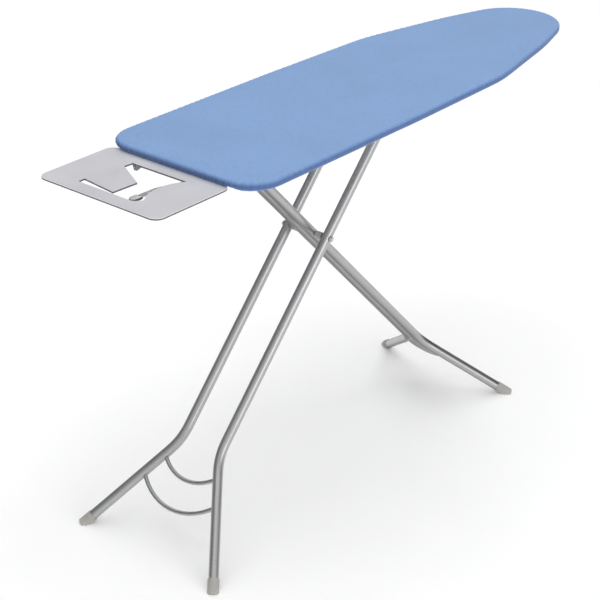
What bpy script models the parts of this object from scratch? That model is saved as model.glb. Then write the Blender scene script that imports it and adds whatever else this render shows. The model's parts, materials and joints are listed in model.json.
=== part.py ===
"""Folding ironing board with a sheet-metal iron rest, modelled as separate pieces.

The board lies along X: the wide end with the iron rest is at -X, the rounded nose at +X.
The floor is Z = 0, left is +Y and right is -Y.  Inside the empty "board_origin", X counts
towards the nose from the line where the iron rest meets the wide end.  Each leg has its own
empty on the crossing axle, whose X axis runs down the leg and whose XY plane is the plane of
its two tubes.
"""

from math import acos, asin, atan2, cos, pi, radians, sin, sqrt, tan

import bmesh
import bpy
from mathutils import Matrix, Vector

# Overall size
WIDE_END_X = 0.005
NOSE_X = 1.368
BOARD_WIDTH = 0.457
BOARD_HEIGHT = 0.930
REST_REACH = 0.205
FIT_GAP = 0.0003

# Plan outline of the board from the wide end to the nose: corners of its straight-sided
# shape as (distance along, half width, rounding radius, arc steps)
NOSE_RADIUS = 0.129
NOSE_SLOPE = 0.325
NOSE_APEX = NOSE_X + NOSE_RADIUS * (sqrt(1 + NOSE_SLOPE**2) / NOSE_SLOPE - 1)
FLANK_X = 1.17
OUTLINE_CORNERS = (
    (WIDE_END_X, BOARD_WIDTH / 2, 0.078, 7),
    (0.55, 0.2265, 2.0, 2),
    (0.90, 0.2175, 0.45, 4),
    (FLANK_X, (NOSE_APEX - FLANK_X) * NOSE_SLOPE, 1.0, 3),
)
NOSE_STEPS = 16

# Layers of the top, counted down from the ironing surface
COVER_THICKNESS = 0.0010
COVER_BAND = 0.0150
COVER_HEM = 0.018
CORD_RADIUS = 0.0012
PAD_THICKNESS = 0.0049
DECK_THICKNESS = 0.0008
DECK_RIM = 0.0060
DECK_INSET = 0.0017
CROSS_RAIL_WIDTH = 0.020
CROSS_RAIL_SHEET = 0.0012
CROSS_RAILS = (
    ("cross_rail_wide_end", 0.029, 0.150),
    ("cross_rail_middle", 0.330, 0.190),
    ("cross_rail_nose", 1.050, 0.140),
)
VENT_RADIUS = 0.011
VENT_PITCH = 0.100
VENT_ROWS = (0.040, 0.125)
PAD_TOP = BOARD_HEIGHT - COVER_THICKNESS - FIT_GAP
DECK_TOP = PAD_TOP - PAD_THICKNESS - FIT_GAP
UNDER_DECK = DECK_TOP - DECK_THICKNESS - FIT_GAP

# Leg linkage: equal upper arms, so the sliding rod stays level with the fixed pivot
LEG_SLOPE = radians(47.15)
CROSS_X = 0.430
CROSS_HEIGHT = 0.620
PIVOT_HEIGHT = 0.885
UPPER_ARM = (PIVOT_HEIGHT - CROSS_HEIGHT) / sin(LEG_SLOPE)
LEG_RUN = CROSS_HEIGHT / sin(LEG_SLOPE)
FIXED_PIVOT_X = CROSS_X - UPPER_ARM * cos(LEG_SLOPE)
SLIDE_REST_X = CROSS_X + UPPER_ARM * cos(LEG_SLOPE)
FOLDED_SLOPE = radians(2.0)
SLIDE_FOLDED_X = FIXED_PIVOT_X + 2 * UPPER_ARM * cos(FOLDED_SLOPE)

# Leg tubes
TUBE_RADIUS = 0.012
TUBE_WALL = 0.0010
TUBE_SIDES = 18
TUBE_TOP = 0.014
OUTER_LEG_Y = 0.059
OUTER_BEND_AT = 0.569
OUTER_SPLAY = radians(28.8)
OUTER_BEND_RADIUS = 0.140
INNER_LEG_Y = 0.0163
PAIR_FACE = INNER_LEG_Y + TUBE_RADIUS
INNER_BEND_AT = 0.638
INNER_SPLAY = radians(42.6)
INNER_BEND_RADIUS = 0.110
BEND_STEPS = 7
BRACE_RADIUS = 0.005
BRACE_TIPS = (0.6505, 0.725)
BRACE_ARCS = (0.117, 0.157)
WEB_THICKNESS = 0.002
WEB_TIP_AT = 0.746
WEB_EDGE_RADIUS = 0.0525
WEB_TOP_HALF = 0.010

# Foot caps, plugs and pivots
CAP_RADIUS = 0.0134
CAP_LENGTH = 0.012
CAP_TOE = 0.006
CAP_FLOOR = 0.003
AXLE_RADIUS = 0.0045
AXLE_NUT_RADIUS = 0.0080
SPACER_RADIUS = 0.0088
PIVOT_ROD_RADIUS = 0.004
SLIDE_ROD_RADIUS = 0.005
PIN_RADIUS = 0.003
PIN_HEAD = 0.003
SMALL_PIN_HEAD = 0.0016
BRACKET_SHEET = 0.002

# Slotted rails that carry the sliding rod
RAIL_Y = 0.0785
RAIL_SHEET = 0.002
RAIL_FLANGE = 0.020
RAIL_DROP = 0.054
RAIL_MARGIN = 0.022
NOTCH_COUNT = 5
NOTCH_RISE = 0.0028

# Iron rest: a flat tray with a cut-out, bolted to a beam under the wide end
REST_TOP = BOARD_HEIGHT - 0.0157
REST_SHEET = 0.0012
REST_LIP = 0.0040
REST_CENTRE_Y = 0.0225
REST_HALF_WIDTH = 0.1785
REST_INNER_X = 0.014
REST_CORNER = 0.023
TONGUE = (0.050, -0.100, 0.140)
BEAM_X = (0.0145, 0.0365)
BEAM_Y = (-0.100, 0.105)
REST_SCREW_Y = (-0.075, 0.045, 0.092)
BEAM_Z = (0.8905, REST_TOP - REST_SHEET - FIT_GAP)
GUSSET_Y = 0.147
GUSSET_DROP = 0.0400
GUSSET_SHEET = 0.003

# Height release: lever, push rod and latch
LEVER_X = 0.060
LEVER_PIVOT_Z = 0.888
LEVER_HEIGHT = LEVER_PIVOT_Z - 0.0045
LEVER_BARREL_Y = (-0.028, 0.0305)
LEVER_BRACKET_Y = (-0.0315, 0.0425)
LEVER_BRACKET_BOTTOM = 0.8815
LEVER_WIDTH = 0.016
LEVER_SHEET = 0.002
LEVER_PLAN = ((LEVER_X, -0.020), (0.008, -0.013), (-0.045, 0.006), (-0.112, 0.008))
GRIP_LENGTH = 0.018
GRIP_SIDE = 0.0016
GRIP_HALF_HEIGHT = 0.0034
GRIP_EDGE = 0.0010
ROD_Y = 0.036
ROD_Z = 0.906
ROD_RADIUS = 0.002
LUG_Y = (0.0275, 0.0305)
LATCH_X = 0.620
LATCH_PIVOT_Z = 0.915
LATCH_PIN_RADIUS = 0.0024
LATCH_BRACKET_Y = (-0.0135, 0.0425)
LATCH_BRACKET_BOTTOM = 0.9105
HOOK_X = SLIDE_REST_X + SLIDE_ROD_RADIUS + 0.003
HOOK_BOTTOM = PIVOT_HEIGHT + SLIDE_ROD_RADIUS + 0.0005

MATERIALS = {
    "blue_cotton": ((0.25, 0.40, 0.66), 0.90, 0.0),
    "white_cord": ((0.80, 0.80, 0.78), 0.80, 0.0),
    "foam": ((0.72, 0.72, 0.68), 0.95, 0.0),
    "deck_steel": ((0.62, 0.63, 0.65), 0.45, 0.7),
    "rest_steel": ((0.60, 0.60, 0.63), 0.38, 0.6),
    "tube_paint": ((0.47, 0.47, 0.48), 0.32, 0.8),
    "bright_steel": ((0.56, 0.56, 0.58), 0.30, 1.0),
    "grey_plastic": ((0.42, 0.41, 0.40), 0.55, 0.0),
    "pale_plastic": ((0.66, 0.66, 0.65), 0.50, 0.0),
    "black_plastic": ((0.04, 0.04, 0.045), 0.50, 0.0),
}


# ---------------------------------------------------------------- scene and material helpers


def clear_scene():
    for item in list(bpy.data.objects):
        bpy.data.objects.remove(item, do_unlink=True)


def get_material(name):
    """Return the Principled material of this name, making it the first time."""
    if name in bpy.data.materials:
        return bpy.data.materials[name]
    color, roughness, metallic = MATERIALS[name]
    material = bpy.data.materials.new(name)
    material.use_nodes = True
    shader = material.node_tree.nodes["Principled BSDF"]
    shader.inputs["Base Color"].default_value = (*color, 1.0)
    shader.inputs["Roughness"].default_value = roughness
    shader.inputs["Metallic"].default_value = metallic
    return material


def make_empty(name, location, pitch=0.0, parent=None):
    """Place an empty, turned by pitch about Y."""
    empty = bpy.data.objects.new(name, None)
    empty.location = location
    empty.rotation_euler = (0.0, pitch, 0.0)
    empty.parent = parent
    bpy.context.scene.collection.objects.link(empty)
    return empty


def make_object(name, verts, faces, material, parent, origin=(0.0, 0.0, 0.0)):
    """Make a closed solid from vertices given in the parent's space, with its origin moved."""
    mesh = bpy.data.meshes.new(name)
    shift = Vector(origin)
    mesh.from_pydata([Vector(v) - shift for v in verts], [], faces)
    build = bmesh.new()
    build.from_mesh(mesh)
    bmesh.ops.remove_doubles(build, verts=build.verts, dist=1e-7)
    bmesh.ops.recalc_face_normals(build, faces=build.faces)
    build.to_mesh(mesh)
    build.free()
    mesh.shade_smooth()
    mesh.set_sharp_from_angle(angle=radians(35))
    item = bpy.data.objects.new(name, mesh)
    item.location = shift
    item.parent = parent
    item.data.materials.append(get_material(material))
    bpy.context.scene.collection.objects.link(item)
    return item


def add_boolean(target, other, operation):
    """Join or cut target with another solid, which then only guides the shape."""
    modifier = target.modifiers.new(operation.title(), "BOOLEAN")
    modifier.operation = operation
    modifier.solver = "EXACT"
    modifier.object = other
    other.hide_render = True
    other.display_type = "WIRE"


def cut(target, *cutters):
    for cutter in cutters:
        add_boolean(target, cutter, "DIFFERENCE")


def join(target, *others):
    for other in others:
        add_boolean(target, other, "UNION")


# ---------------------------------------------------------------- outlines and sweeps


def bridge_rings(ring_count, size, closed_path=False):
    """Quads between successive rings of the same size."""
    faces = []
    last = ring_count if closed_path else ring_count - 1
    for ring in range(last):
        lower = ring * size
        upper = (ring + 1) % ring_count * size
        for i in range(size):
            j = (i + 1) % size
            faces.append((lower + i, lower + j, upper + j, upper + i))
    return faces


def prism(name, outline, axis, low, high, material, parent, origin=(0.0, 0.0, 0.0)):
    """Extrude a closed outline along an axis: X takes (y, z), Y takes (x, z), Z takes (x, y)."""
    order = {"X": (2, 0, 1), "Y": (0, 2, 1), "Z": (0, 1, 2)}[axis]
    verts = []
    for level in (low, high):
        for a, b in outline:
            values = (a, b, level)
            verts.append(tuple(values[k] for k in order))
    count = len(outline)
    faces = bridge_rings(2, count)
    faces.append(tuple(range(count)))
    faces.append(tuple(range(count, 2 * count)))
    return make_object(name, verts, faces, material, parent, origin)


def circle(a, b, radius, sides=16):
    turns = [2 * pi * k / sides for k in range(sides)]
    return [(a + radius * cos(turn), b + radius * sin(turn)) for turn in turns]


def rectangle(low, high):
    return [(low[0], low[1]), (high[0], low[1]), (high[0], high[1]), (low[0], high[1])]


def arc(centre, radius, start, end, steps):
    """Points along a circular arc, both ends included."""
    angles = [start + (end - start) * k / steps for k in range(steps + 1)]
    return [(centre[0] + radius * cos(t), centre[1] + radius * sin(t)) for t in angles]


def fillet(corner, before, after, radius, steps):
    """Arc that rounds the corner between two neighbouring points."""
    to_before = (Vector(before) - Vector(corner)).normalized()
    to_after = (Vector(after) - Vector(corner)).normalized()
    half = acos(max(-1.0, min(1.0, to_before.dot(to_after)))) / 2
    centre = Vector(corner) + (to_before + to_after).normalized() * radius / sin(half)
    start = Vector(corner) + to_before * radius / tan(half) - centre
    end = Vector(corner) + to_after * radius / tan(half) - centre
    first = atan2(start.y, start.x)
    turn = (atan2(end.y, end.x) - first + pi) % (2 * pi) - pi
    return arc(centre, radius, first, first + turn, steps)


def rounded_path(points, radius, steps):
    """Open path through the points with each inner corner rounded."""
    path = [points[0]]
    for before, corner, after in zip(points, points[1:], points[2:]):
        path.extend(fillet(corner, before, after, radius, steps))
    path.append(points[-1])
    return path


def rounded_outline(points, radius, steps):
    """Closed outline through the points with every corner rounded."""
    count = len(points)
    outline = []
    for k, corner in enumerate(points):
        outline.extend(fillet(corner, points[k - 1], points[(k + 1) % count], radius, steps))
    return outline


def ribbon(path, thickness):
    """Closed outline of a strip of even thickness that follows a path."""
    upper = []
    lower = []
    for k, point in enumerate(path):
        ahead = Vector(path[min(k + 1, len(path) - 1)])
        behind = Vector(path[max(k - 1, 0)])
        along = (ahead - behind).normalized()
        side = Vector((-along.y, along.x)) * thickness / 2
        upper.append(tuple(Vector(point) + side))
        lower.append(tuple(Vector(point) - side))
    return upper + lower[::-1]


def grown(outline, distance):
    """Move an anticlockwise closed outline outwards by a distance."""
    result = []
    count = len(outline)
    for k, point in enumerate(outline):
        here = Vector(point)
        into = (here - Vector(outline[k - 1])).normalized()
        out = (Vector(outline[(k + 1) % count]) - here).normalized()
        normal = Vector((into.y + out.y, -into.x - out.x)).normalized()
        scale = max(0.4, normal.dot(Vector((into.y, -into.x))))
        result.append(tuple(here + normal * distance / scale))
    return result


def ring_points(centre, along, normal, radius, sides):
    """Circle of points around centre in the plane square to along."""
    across = along.cross(normal)
    points = []
    for k in range(sides):
        turn = 2 * pi * k / sides
        points.append(centre + (across * cos(turn) + normal * sin(turn)) * radius)
    return points


def path_directions(path, closed=False):
    count = len(path)
    directions = []
    for k in range(count):
        ahead = path[(k + 1) % count] if closed else path[min(k + 1, count - 1)]
        behind = path[k - 1] if closed or k else path[0]
        directions.append((ahead - behind).normalized())
    return directions


def sweep_rings(path, radius, sides, closed=False, normal=Vector((0.0, 0.0, 1.0))):
    """Rings along a path, kept upright to the normal."""
    points = []
    for centre, along in zip(path, path_directions(path, closed)):
        upright = (normal - along * normal.dot(along)).normalized()
        points.extend(ring_points(centre, along, upright, radius, sides))
    return points


def solid_rod(name, path, radius, sides, material, parent, origin=(0.0, 0.0, 0.0), normal=None):
    """Solid round rod along an open path."""
    upright = normal or Vector((0.0, 0.0, 1.0))
    verts = sweep_rings(path, radius, sides, normal=upright)
    faces = bridge_rings(len(path), sides)
    faces.append(tuple(range(sides)))
    faces.append(tuple(range(len(verts) - sides, len(verts))))
    return make_object(name, verts, faces, material, parent, origin)


def hollow_tube(name, path, material, parent):
    """Round tube with an even wall and open ends."""
    verts = sweep_rings(path, TUBE_RADIUS, TUBE_SIDES)
    inner_start = len(verts)
    verts += sweep_rings(path, TUBE_RADIUS - TUBE_WALL, TUBE_SIDES)
    faces = bridge_rings(len(path), TUBE_SIDES)
    faces += [tuple(v + inner_start for v in face) for face in faces]
    for ring in (0, inner_start - TUBE_SIDES):
        for i in range(TUBE_SIDES):
            j = (i + 1) % TUBE_SIDES
            faces.append((ring + i, ring + j, inner_start + ring + j, inner_start + ring + i))
    return make_object(name, verts, faces, material, parent)


def turned(name, profile, origin, direction, sides, material, parent):
    """Turn a profile of (distance along the axis, radius) round an axis.

    A profile that starts and ends at radius 0 is a plain solid; any other is a closed ring.
    """
    along = Vector(direction).normalized()
    normal = Vector((0.0, 0.0, 1.0)) if abs(along.z) < 0.9 else Vector((1.0, 0.0, 0.0))
    upright = (normal - along * normal.dot(along)).normalized()
    centre = Vector(origin)
    solid = profile[0][1] == 0.0
    rings = profile[1:-1] if solid else profile
    verts = []
    for distance, radius in rings:
        verts.extend(ring_points(centre + along * distance, along, upright, radius, sides))
    faces = bridge_rings(len(rings), sides, closed_path=not solid)
    if solid:
        for end, ring in ((profile[0], 0), (profile[-1], len(rings) - 1)):
            verts.append(centre + along * end[0])
            base = ring * sides
            faces += [(len(verts) - 1, base + i, base + (i + 1) % sides) for i in range(sides)]
    return make_object(name, verts, faces, material, parent, origin)


def cylinder(name, centre, direction, low, high, radius, material, parent, sides=16):
    profile = [(low, 0.0), (low, radius), (high, radius), (high, 0.0)]
    return turned(name, profile, centre, direction, sides, material, parent)


# ---------------------------------------------------------------- the padded top


def board_outline(inset):
    """Plan outline of the board, anticlockwise from the right rear corner, moved inwards."""
    right = [((x, -half), radius, steps) for x, half, radius, steps in OUTLINE_CORNERS]
    left = [((x, -y), radius, steps) for (x, y), radius, steps in reversed(right)]
    corners = right + [((NOSE_APEX, 0.0), NOSE_RADIUS, NOSE_STEPS)] + left
    count = len(corners)
    outline = []
    for k, (corner, radius, steps) in enumerate(corners):
        before = corners[k - 1][0]
        after = corners[(k + 1) % count][0]
        outline.extend(fillet(corner, before, after, radius, steps))
    return grown(outline, -inset)


def half_width(x):
    """Half the board's width at a distance along it, before the corners are rounded."""
    stations = [(at, half) for at, half, _, _ in OUTLINE_CORNERS] + [(NOSE_APEX, 0.0)]
    for (start, first), (end, second) in zip(stations, stations[1:]):
        if x <= end:
            return first + (second - first) * (x - start) / (end - start)
    return 0.0


def board_shell(name, profile, material, parent):
    """Closed solid whose cross-section runs through (inset, height) pairs, from cap to cap."""
    verts = []
    for inset, height in profile:
        verts += [(x, y, height) for x, y in board_outline(inset)]
    size = len(verts) // len(profile)
    faces = bridge_rings(len(profile), size)
    faces.append(tuple(range(size)))
    faces.append(tuple(range(len(verts) - size, len(verts))))
    return make_object(name, verts, faces, material, parent)


def make_cover(board):
    """Cotton cover: top, rounded edge, side band and a hem turned in under the rim."""
    top = BOARD_HEIGHT
    bottom = top - COVER_BAND
    skin = COVER_THICKNESS
    outside = [
        (0.0070, top),
        (0.0026, top - 0.0010),
        (0.0006, top - 0.0030),
        (0.0, top - 0.0060),
        (0.0, bottom + 0.0016),
        (0.0010, bottom + 0.0003),
        (0.0024, bottom),
        (COVER_HEM, bottom),
    ]
    inside = [
        (COVER_HEM, bottom + skin),
        (0.0026, bottom + skin),
        (skin, bottom + skin + 0.0012),
        (skin, top - 0.0060),
        (0.0032, top - 0.0018),
        (0.0070, top - skin),
    ]
    board_shell("ironing_cover", outside + inside, "blue_cotton", board)


def make_drawcord(board):
    """Cord in the hem that pulls the cover tight round the deck."""
    height = BOARD_HEIGHT - COVER_BAND + CORD_RADIUS + FIT_GAP
    path = [Vector((x, y, height)) for x, y in board_outline(COVER_HEM + CORD_RADIUS + FIT_GAP)]
    sides = 6
    verts = sweep_rings(path, CORD_RADIUS, sides, closed=True)
    faces = bridge_rings(len(path), sides, closed_path=True)
    make_object("cover_drawcord", verts, faces, "white_cord", board)


def make_foam_pad(board):
    profile = [
        (0.0085, PAD_TOP),
        (0.0042, PAD_TOP - 0.0020),
        (0.0030, PAD_TOP - PAD_THICKNESS),
    ]
    board_shell("foam_pad", profile, "foam", board)


def vent_positions():
    """Centres of the steam vents that fit well inside the board's outline."""
    places = []
    columns = int(NOSE_X / VENT_PITCH)
    for row, offset in enumerate(VENT_ROWS):
        for column in range(1, columns):
            x = (column + 0.5 * row) * VENT_PITCH
            if offset + 3 * VENT_RADIUS < half_width(x):
                places += [(x, offset), (x, -offset)]
    return places


def make_deck(board):
    """Steel deck with a turned-down rim and rows of steam vents."""
    rim = DECK_TOP - DECK_RIM
    sheet = DECK_THICKNESS
    profile = [
        (DECK_INSET + 0.0016, DECK_TOP),
        (DECK_INSET, DECK_TOP - 0.0016),
        (DECK_INSET, rim),
        (DECK_INSET + sheet, rim),
        (DECK_INSET + sheet, DECK_TOP - 0.0018),
        (DECK_INSET + 0.0019, DECK_TOP - sheet),
    ]
    deck = board_shell("deck_panel", profile, "deck_steel", board)
    verts = []
    faces = []
    sides = 8
    for x, y in vent_positions():
        start = len(verts)
        for height in (DECK_TOP - 0.003, DECK_TOP + 0.002):
            verts += [(a, b, height) for a, b in circle(x, y, VENT_RADIUS, sides)]
        faces += [tuple(v + start for v in face) for face in bridge_rings(2, sides)]
        faces.append(tuple(range(start, start + sides)))
        faces.append(tuple(range(start + sides, start + 2 * sides)))
    cut(deck, make_object("vent_cutter", verts, faces, "deck_steel", board))


def make_cross_rail(name, x, half_length, board):
    """Shallow channel across the underside of the deck, open side up."""
    low = REST_TOP + 0.0005
    sheet = CROSS_RAIL_SHEET
    width = CROSS_RAIL_WIDTH
    outline = [
        (x, UNDER_DECK),
        (x, low),
        (x + width, low),
        (x + width, UNDER_DECK),
        (x + width - sheet, UNDER_DECK),
        (x + width - sheet, low + sheet),
        (x + sheet, low + sheet),
        (x + sheet, UNDER_DECK),
    ]
    prism(name, outline, "Y", -half_length, half_length, "deck_steel", board)


# ---------------------------------------------------------------- iron rest


def window_outline():
    """Cut-out of the iron rest: a window with a tapered tab from its left side.

    The right side is one gentle arc; the points run anticlockwise.
    """
    right_arc_centre = (-0.088, -0.138)
    right_arc_radius = 0.0965
    lean = asin(0.062 / right_arc_radius)
    right_side = arc(right_arc_centre, right_arc_radius, pi / 2 + lean, pi / 2 - lean, 8)
    return [
        (-0.168, 0.112),
        (-0.168, -0.044),
        (-0.164, -0.0535),
        (-0.158, -0.0575),
        *right_side,
        (-0.027, 0.096),
        (-0.050, 0.098),
        (-0.095, 0.012),
        (-0.161, 0.016),
        (-0.150, 0.113),
    ]


def make_iron_rest(board):
    """Pressed tray: flat sheet, turned-down lip all round and round the window, and a tongue."""
    outer = rounded_outline(
        rectangle(
            (-REST_REACH, REST_CENTRE_Y - REST_HALF_WIDTH),
            (REST_INNER_X, REST_CENTRE_Y + REST_HALF_WIDTH),
        ),
        REST_CORNER,
        6,
    )
    lip_bottom = REST_TOP - REST_LIP
    soft_edge = 0.0008
    levels = [
        (grown(outer, -soft_edge), REST_TOP),
        (outer, REST_TOP - soft_edge),
        (outer, lip_bottom),
        (grown(outer, -REST_SHEET), lip_bottom),
        (grown(outer, -REST_SHEET), REST_TOP - REST_SHEET),
    ]
    verts = [(x, y, height) for outline, height in levels for x, y in outline]
    size = len(outer)
    faces = bridge_rings(len(levels), size)
    faces.append(tuple(range(size)))
    faces.append(tuple(range(len(verts) - size, len(verts))))
    tray = make_object("iron_rest_plate", verts, faces, "rest_steel", board)
    window = window_outline()
    wall = grown(window, REST_SHEET)
    boss = prism("window_lip", wall, "Z", lip_bottom, REST_TOP - 0.0004, "rest_steel", board)
    tongue_box = rectangle((-0.006, TONGUE[1]), (TONGUE[0], TONGUE[2]))
    tongue_low = REST_TOP - REST_SHEET
    tongue = prism("rest_tongue", tongue_box, "Z", tongue_low, REST_TOP, "rest_steel", board)
    hole = prism("window_cutter", window, "Z", lip_bottom - 0.01, REST_TOP + 0.01, "rest_steel", board)
    join(tray, boss, tongue)
    cut(tray, hole)


def make_rest_mounting(board):
    """Beam under the wide end that holds the iron rest, its end gusset and its screws."""
    beam_outline = rounded_outline(rectangle((BEAM_X[0], BEAM_Z[0]), (BEAM_X[1], BEAM_Z[1])), 0.002, 2)
    prism("iron_rest_beam", beam_outline, "Y", BEAM_Y[0], BEAM_Y[1], "deck_steel", board)
    inner = BEAM_Y[1] + FIT_GAP
    low = BEAM_Z[0]
    high = BEAM_Z[1]
    tip = high - GUSSET_DROP
    plate = [
        (inner, high - 0.020),
        (GUSSET_Y - 0.018, tip + 0.001),
        (GUSSET_Y - 0.009, tip),
        (GUSSET_Y, high - 0.010),
        (GUSSET_Y, high),
        (inner, high),
    ]
    centre = (GUSSET_Y - 0.014, high - 0.026)
    hole = circle(*centre, 0.0042, 10)
    gusset = prism("iron_rest_gusset", plate, "X", BEAM_X[0], BEAM_X[0] + GUSSET_SHEET, "deck_steel", board)
    cut(gusset, prism("gusset_cutter", hole, "X", 0.0, 0.02, "deck_steel", board))
    centre_x = sum(BEAM_X) / 2
    head = [(0.0, 0.0), (0.0, 0.0045), (0.0014, 0.0042), (0.0024, 0.0026), (0.0027, 0.0)]
    for number, y in enumerate(REST_SCREW_Y, start=1):
        place = (centre_x, y, low - FIT_GAP)
        turned(f"rest_screw_{number}", head, place, (0, 0, -1), 12, "bright_steel", board)


# ---------------------------------------------------------------- pivots and rails under the deck


def u_bracket(name, x, half_length, y_low, y_high, bottom, board):
    """Folded bracket under the deck: a top plate along X with an ear down each side."""
    sheet = BRACKET_SHEET
    top = UNDER_DECK
    outline = [
        (y_low, bottom),
        (y_low, top),
        (y_high, top),
        (y_high, bottom),
        (y_high - sheet, bottom),
        (y_high - sheet, top - sheet),
        (y_low + sheet, top - sheet),
        (y_low + sheet, bottom),
    ]
    return prism(name, outline, "X", x - half_length, x + half_length, "deck_steel", board)


def headed_pin(name, x, z, radius, low, high, head, board):
    """Pin along Y with a flat head at each end, outside the distances low to high."""
    wide = radius + 0.0016
    profile = [
        (low - head, 0.0),
        (low - head, wide - 0.0006),
        (low - head + 0.0006, wide),
        (low, wide),
        (low, radius),
        (high, radius),
        (high, wide),
        (high + head - 0.0006, wide),
        (high + head, wide - 0.0006),
        (high + head, 0.0),
    ]
    return turned(name, profile, (x, 0.0, z), (0, 1, 0), 16, "bright_steel", board)


def y_cutter(name, x, z, radius, low, high, parent):
    """Round cutter along Y."""
    return cylinder(name, (x, 0.0, z), (0, 1, 0), low, high, radius, "bright_steel", parent, 13)


def make_leg_pivot(board):
    """Bracket and rod that hold the inner leg's top end under the wide half of the deck."""
    half = PAIR_FACE + 0.0012 + 0.002
    bracket = u_bracket(
        "leg_pivot_bracket", FIXED_PIVOT_X, 0.022, -half, half, PIVOT_HEIGHT - 0.013, board
    )
    hole_radius = PIVOT_ROD_RADIUS + FIT_GAP
    cut(bracket, y_cutter("pivot_cutter", FIXED_PIVOT_X, PIVOT_HEIGHT, hole_radius, -0.05, 0.05, board))
    reach = half + FIT_GAP
    headed_pin("leg_pivot_rod", FIXED_PIVOT_X, PIVOT_HEIGHT, PIVOT_ROD_RADIUS, -reach, reach, PIN_HEAD, board)


def make_slide_rail(name, side, board):
    """Angle rail with a long slot for the sliding rod and height notches in its upper edge."""
    top = UNDER_DECK
    web = side * RAIL_Y
    outer = side * (RAIL_Y + RAIL_SHEET)
    flange = side * (RAIL_Y + RAIL_FLANGE)
    low = top - RAIL_DROP
    outline = [
        (web, low),
        (web, top),
        (flange, top),
        (flange, top - RAIL_SHEET),
        (outer, top - RAIL_SHEET),
        (outer, low),
    ]
    start = SLIDE_REST_X - RAIL_MARGIN
    end = SLIDE_FOLDED_X + RAIL_MARGIN
    rail = prism(name, outline, "X", start, end, "deck_steel", board)
    radius = SLIDE_ROD_RADIUS + 0.0005
    left_end = arc((SLIDE_REST_X, PIVOT_HEIGHT), radius, pi / 2, 3 * pi / 2, 8)
    right_end = arc((SLIDE_FOLDED_X, PIVOT_HEIGHT), radius, -pi / 2, pi / 2, 8)
    span = sorted((side * (RAIL_Y - 0.002), side * (RAIL_Y + 0.004)))
    slot = prism(f"{name}_slot", left_end + right_end, "Y", span[0], span[1], "deck_steel", board)
    cut(rail, slot)
    spacing = (SLIDE_FOLDED_X - SLIDE_REST_X) / NOTCH_COUNT
    for number in range(NOTCH_COUNT):
        x = SLIDE_REST_X + number * spacing
        notch = circle(x, PIVOT_HEIGHT + NOTCH_RISE, radius, 16)
        cut(rail, prism(f"{name}_notch_{number}", notch, "Y", span[0], span[1], "deck_steel", board))


# ---------------------------------------------------------------- height release


def make_lever(board):
    """Flat lever under the iron rest, with a barrel on its pin and a lug for the push rod."""
    origin = (LEVER_X, 0.0, LEVER_PIVOT_Z)
    plan = ribbon(rounded_path(LEVER_PLAN, 0.06, 4), LEVER_WIDTH)
    low = LEVER_HEIGHT - LEVER_SHEET / 2
    lever = prism("height_lever", plan, "Z", low, low + LEVER_SHEET, "bright_steel", board, origin)
    around = circle(LEVER_X, LEVER_PIVOT_Z, 0.0055, 16)
    barrel = prism("lever_barrel", around, "Y", *LEVER_BARREL_Y, "bright_steel", board)
    lug_corners = rectangle((LEVER_X - 0.0045, LEVER_PIVOT_Z), (LEVER_X + 0.0045, ROD_Z + 0.0045))
    lug_shape = rounded_outline(lug_corners, 0.004, 3)
    lug = prism("lever_lug", lug_shape, "Y", *LUG_Y, "bright_steel", board)
    join(lever, barrel, lug)
    pin_hole = y_cutter("lever_pin_cutter", LEVER_X, LEVER_PIVOT_Z, PIN_RADIUS + FIT_GAP, -0.05, 0.06, board)
    rod_hole = y_cutter("lever_rod_cutter", LEVER_X, ROD_Z, ROD_RADIUS + FIT_GAP, 0.02, 0.04, board)
    cut(lever, pin_hole, rod_hole)
    low, high = LEVER_BRACKET_Y
    bracket = u_bracket("lever_bracket", LEVER_X + 0.001, 0.0085, low, high, LEVER_BRACKET_BOTTOM, board)
    cut(bracket, pin_hole)
    reach = (low - FIT_GAP, high + FIT_GAP)
    headed_pin("lever_pin", LEVER_X, LEVER_PIVOT_Z, PIN_RADIUS, *reach, SMALL_PIN_HEAD, board)


def make_lever_grip(board):
    """Moulded grip with a rounded end, pushed over the lever's tip."""
    width = LEVER_WIDTH / 2 + GRIP_SIDE
    tip = Vector(LEVER_PLAN[-1])
    outward = (tip - Vector(LEVER_PLAN[-2])).normalized()
    turn = atan2(outward.y, outward.x)
    back = tip - outward * GRIP_LENGTH
    across = Vector((-outward.y, outward.x)) * width
    plan = arc(tip, width, turn - pi / 2, turn + pi / 2, 10)
    plan += [tuple(back + across), tuple(back + outward * 0.004), tuple(back - across)]
    straight = GRIP_HALF_HEIGHT - GRIP_EDGE
    levels = [
        (GRIP_EDGE, -GRIP_HALF_HEIGHT),
        (0.0, -straight),
        (0.0, straight),
        (GRIP_EDGE, GRIP_HALF_HEIGHT),
    ]
    verts = []
    for inset, rise in levels:
        verts += [(x, y, LEVER_HEIGHT + rise) for x, y in grown(plan, -inset)]
    size = len(plan)
    faces = bridge_rings(len(levels), size)
    faces.append(tuple(range(size)))
    faces.append(tuple(range(len(verts) - size, len(verts))))
    origin = (LEVER_X, 0.0, LEVER_PIVOT_Z)
    grip = make_object("lever_grip", verts, faces, "pale_plastic", board, origin)
    path = rounded_path(LEVER_PLAN, 0.06, 4)
    path[-1] = tuple(tip + outward * FIT_GAP)
    pocket = ribbon(path, LEVER_WIDTH + 2 * FIT_GAP)
    reach = LEVER_SHEET / 2 + FIT_GAP
    low, high = LEVER_HEIGHT - reach, LEVER_HEIGHT + reach
    cut(grip, prism("grip_pocket", pocket, "Z", low, high, "pale_plastic", board))


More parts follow.
